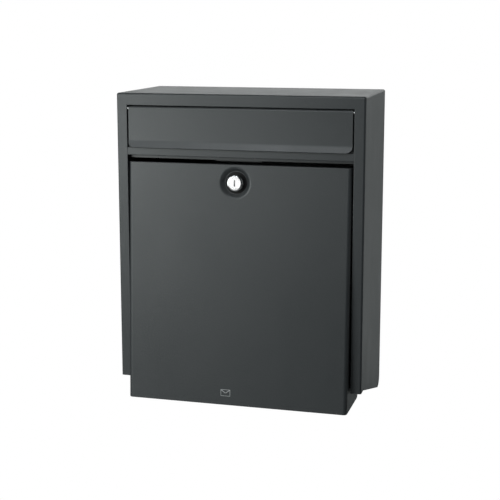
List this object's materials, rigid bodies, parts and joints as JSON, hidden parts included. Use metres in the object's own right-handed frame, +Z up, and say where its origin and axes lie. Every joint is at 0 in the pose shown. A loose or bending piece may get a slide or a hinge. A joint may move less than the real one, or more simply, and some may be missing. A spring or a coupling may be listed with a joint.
{
  "type": "wall mounted mailbox",
  "caption": "Wall mailbox of folded sheet steel with a top-hinged letter flap, a leaning drop-down collection door hinged at its foot, and a cam lock.",
  "frame": {"origin": "middle of the four wall-screw holes, on the back face", "axes": "+X to the right seen from the front, +Y into the wall, +Z up"},
  "size_m": [0.28, 0.1533, 0.3582],
  "materials": {
    "powder_coat": "anthracite grey powder coat with a fine texture, semi-matt",
    "zinc_steel": "zinc plated steel",
    "lock_chrome": "satin to bright chrome plated zinc casting",
    "black_rubber": "matt black rubber",
    "white_nylon": "natural nylon"
  },
  "bodies": {
    "casing": {"casing_wrap": "powder_coat", "back_panel": "powder_coat", "cross_rail": "powder_coat", "strike_plate": "powder_coat", "strike_rivets": "zinc_steel", "flap_rod": "zinc_steel", "flap_buffers": "black_rubber", "hinge_ear_left": "powder_coat", "hinge_ear_right": "powder_coat", "ear_rivets": "zinc_steel", "hinge_pins": "zinc_steel", "hinge_washers": "white_nylon", "door_stops": "powder_coat", "door_buffers": "black_rubber"},
    "flap": {"flap_panel": "powder_coat"},
    "door": {"door_panel": "powder_coat", "lock_housing": "lock_chrome", "lock_gasket": "black_rubber", "lock_nut": "zinc_steel"},
    "lock": {"lock_plug": "lock_chrome", "lock_cam": "zinc_steel", "cam_washer": "zinc_steel", "cam_screw": "zinc_steel"}
  },
  "joints": [
    {"name": "flap_hinge", "type": "hinge", "parent": "casing", "child": "flap", "pos_m": [0, -0.13744, 0.14794], "axis": [-1, 0, 0], "range_deg": [0, 80]},
    {"name": "door_hinge", "type": "hinge", "parent": "casing", "child": "door", "pos_m": [0, -0.14523, -0.15745], "axis": [1, 0, 0], "range_deg": [0, 80]},
    {"name": "lock_turn", "type": "hinge", "parent": "door", "child": "lock", "pos_m": [-0.0025, -0.14173, 0.06882], "axis": [0, 0.9989, -0.0464], "range_deg": [0, 90]}
  ]
}
